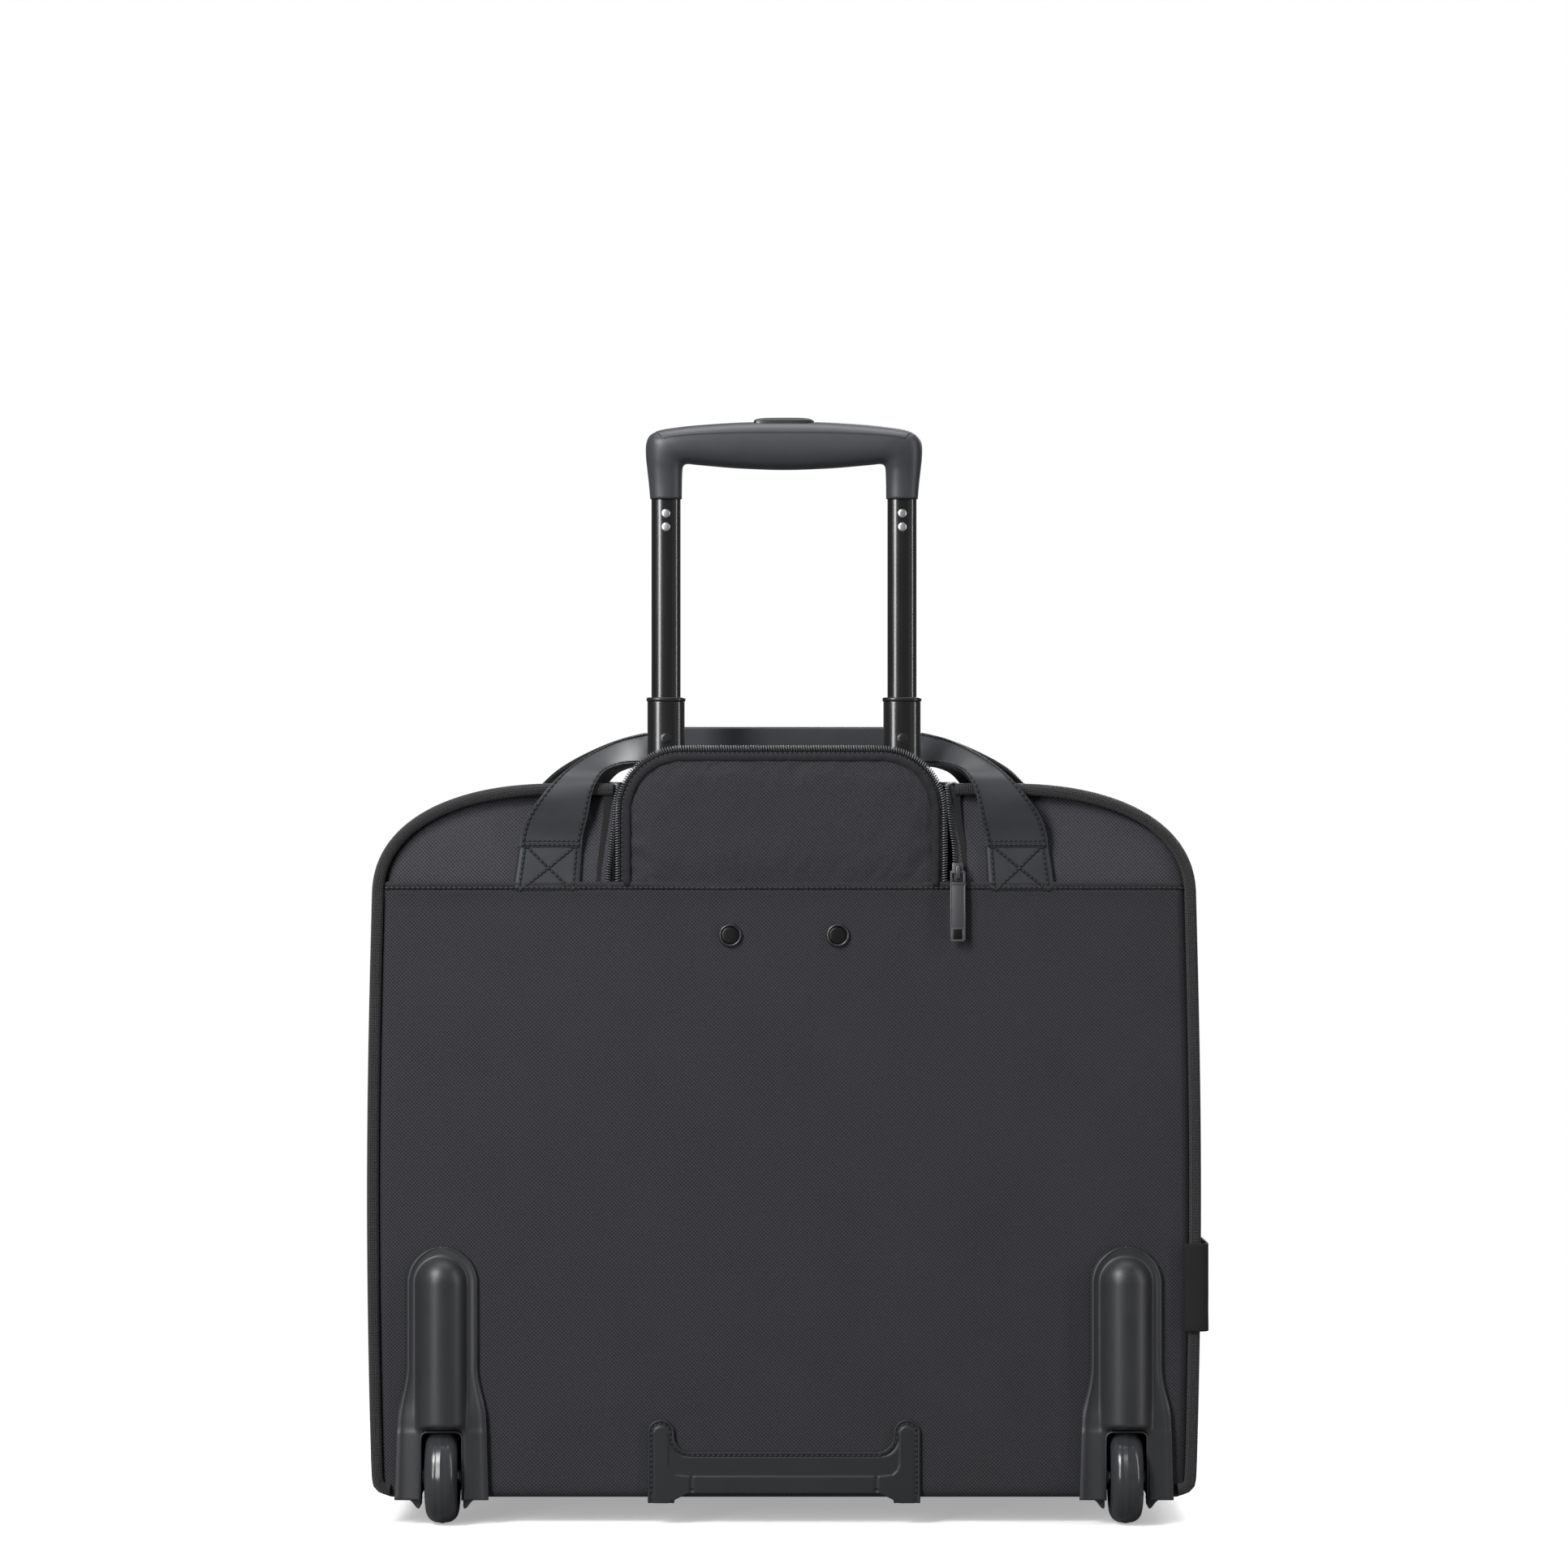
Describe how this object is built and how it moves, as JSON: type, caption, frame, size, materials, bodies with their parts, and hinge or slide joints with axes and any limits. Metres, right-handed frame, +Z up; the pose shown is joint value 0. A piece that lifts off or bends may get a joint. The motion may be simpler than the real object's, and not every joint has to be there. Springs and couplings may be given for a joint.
{
  "type": "pilot rolling flight case",
  "caption": "Soft-sided pilot trolley case on wheels, with a telescopic handle, a zipped trolley cover, carry handles and a front that opens on its main zip.",
  "frame": {"origin": "centre of the case's bounding box, on the surface it stands on", "axes": "+Z up, -Y towards the rear panel with the wheels and the trolley, +X across the case to the side with the pull tab"},
  "size_m": [0.454, 0.2103, 0.5982],
  "materials": {
    "woven_fabric": "matte",
    "lining": "matte",
    "board": "matte",
    "piping": "matte",
    "smooth_leather": "satin",
    "zip": "satin",
    "dark_metal": "satin",
    "housing_tube": "satin",
    "black_tube": "gloss",
    "collar_plastic": "satin",
    "housing_plastic": "matte",
    "grip_plastic": "matte",
    "button_plastic": "satin",
    "bumper": "satin",
    "tyre": "satin",
    "steel": "satin",
    "chrome": "polished",
    "stud_ring": "satin",
    "stud_cap": "gloss"
  },
  "bodies": {
    "case": {"rear_panel": "woven_fabric", "upper_rear_panel": "woven_fabric", "rear_gusset": "woven_fabric", "well_liner": "lining", "back_board": "board", "base_board": "board", "laptop_divider": "lining", "rear_piping": "piping", "housing_tube_left": "housing_tube", "housing_tube_right": "housing_tube", "trolley_bezel": "collar_plastic", "base_bracket": "collar_plastic", "wheel_housing_left": "housing_plastic", "wheel_housing_right": "housing_plastic", "axle_left": "chrome", "axle_right": "chrome", "axle_spacers": "chrome", "base_bumper": "bumper", "stud_rings": "stud_ring", "stud_caps": "stud_cap", "front_feet": "housing_plastic", "side_tab": "smooth_leather", "rear_anchors": "smooth_leather", "cover_zip_coil": "zip", "main_zip_rear": "zip"},
    "front_cover": {"front_panel": "woven_fabric", "front_gusset": "woven_fabric", "front_piping": "piping", "front_pocket": "woven_fabric", "pocket_zip": "zip", "front_anchors": "smooth_leather", "main_zip_front": "zip"},
    "lower_stage": {"lower_tube_left": "black_tube", "lower_tube_right": "black_tube", "lower_collar_left": "collar_plastic", "lower_collar_right": "collar_plastic"},
    "upper_stage": {"upper_tube_left": "black_tube", "upper_tube_right": "black_tube", "tube_rivets": "chrome", "grip_shell": "grip_plastic", "grip_cap": "grip_plastic"},
    "release": {"release_button": "button_plastic", "release_yoke": "steel"},
    "pins": {"lock_pins": "steel"},
    "left_wheel": {"tyre_left": "tyre", "hub_left": "housing_plastic", "bearings_left": "steel"},
    "right_wheel": {"tyre_right": "tyre", "hub_right": "housing_plastic", "bearings_right": "steel"},
    "trolley_cover": {"cover_flap": "woven_fabric", "flap_zip_coil": "zip"},
    "cover_zip_slider": {"cover_slider": "dark_metal"},
    "cover_zip_pull": {"cover_pull": "dark_metal"},
    "left_zip_slider": {"main_slider_left": "dark_metal"},
    "left_zip_pull": {"main_pull_left": "dark_metal"},
    "right_zip_slider": {"main_slider_right": "dark_metal"},
    "right_zip_pull": {"main_pull_right": "dark_metal"},
    "rear_carry_handle": {"rear_handle": "smooth_leather"},
    "front_carry_handle": {"front_handle": "smooth_leather"}
  },
  "joints": [
    {"name": "front_cover_open", "type": "hinge", "parent": "case", "child": "front_cover", "pos_m": [0, 0.084, 0.02], "axis": [-1, 0, 0], "range_deg": [0, 75]},
    {"name": "lower_stage_slide", "type": "slide", "parent": "case", "child": "lower_stage", "axis": [0, 0, 1], "range_m": [-0.096, 0.174]},
    {"name": "upper_stage_slide", "type": "slide", "parent": "lower_stage", "child": "upper_stage", "axis": [0, 0, 1], "range_m": [-0.107, 0.158]},
    {"name": "button_press", "type": "slide", "parent": "upper_stage", "child": "release", "axis": [0, 0, -1], "range_m": [0, 0.003], "stiffness_N_per_m": 800, "springref_m": -0.004},
    {"name": "pin_retract", "type": "slide", "parent": "upper_stage", "child": "pins", "axis": [0, 1, 0], "range_m": [0, 0.002]},
    {"name": "left_wheel_spin", "type": "hinge", "parent": "case", "child": "left_wheel", "pos_m": [-0.1845, -0.082, 0.026], "axis": [1, 0, 0], "continuous": true},
    {"name": "right_wheel_spin", "type": "hinge", "parent": "case", "child": "right_wheel", "pos_m": [0.1845, -0.082, 0.026], "axis": [1, 0, 0], "continuous": true},
    {"name": "trolley_cover_fold", "type": "hinge", "parent": "case", "child": "trolley_cover", "pos_m": [0, -0.0915, 0.346], "axis": [1, 0, 0], "range_deg": [0, 160]},
    {"name": "cover_zip_run", "type": "slide", "parent": "case", "child": "cover_zip_slider", "axis": [0, 0, 1], "range_m": [0, 0.03]},
    {"name": "cover_pull_swing", "type": "hinge", "parent": "cover_zip_slider", "child": "cover_zip_pull", "pos_m": [0.0936, -0.0946, 0.352], "axis": [-1, 0, 0], "range_deg": [0, 85]},
    {"name": "left_zip_run", "type": "slide", "parent": "case", "child": "left_zip_slider", "axis": [-1, 0, 0], "range_m": [0, 0.085]},
    {"name": "left_pull_swing", "type": "hinge", "parent": "left_zip_slider", "child": "left_zip_pull", "pos_m": [-0.026, 0.0222, 0.4049], "axis": [0, -1, 0], "range_deg": [0, 85]},
    {"name": "right_zip_run", "type": "slide", "parent": "case", "child": "right_zip_slider", "axis": [1, 0, 0], "range_m": [0, 0.085]},
    {"name": "right_pull_swing", "type": "hinge", "parent": "right_zip_slider", "child": "right_zip_pull", "pos_m": [0.026, 0.0222, 0.4049], "axis": [0, 1, 0], "range_deg": [0, 85]},
    {"name": "rear_handle_swing", "type": "hinge", "parent": "case", "child": "rear_carry_handle", "pos_m": [0, -0.0907, 0.3665], "axis": [1, 0, 0], "range_deg": [0, 20]},
    {"name": "front_handle_swing", "type": "hinge", "parent": "front_cover", "child": "front_carry_handle", "pos_m": [0, 0.0857, 0.3665], "axis": [-1, 0, 0], "range_deg": [0, 120]}
  ],
  "couplings": [
    {"joint": "pin_retract", "follows": "button_press", "ratio": 0.66}
  ]
}
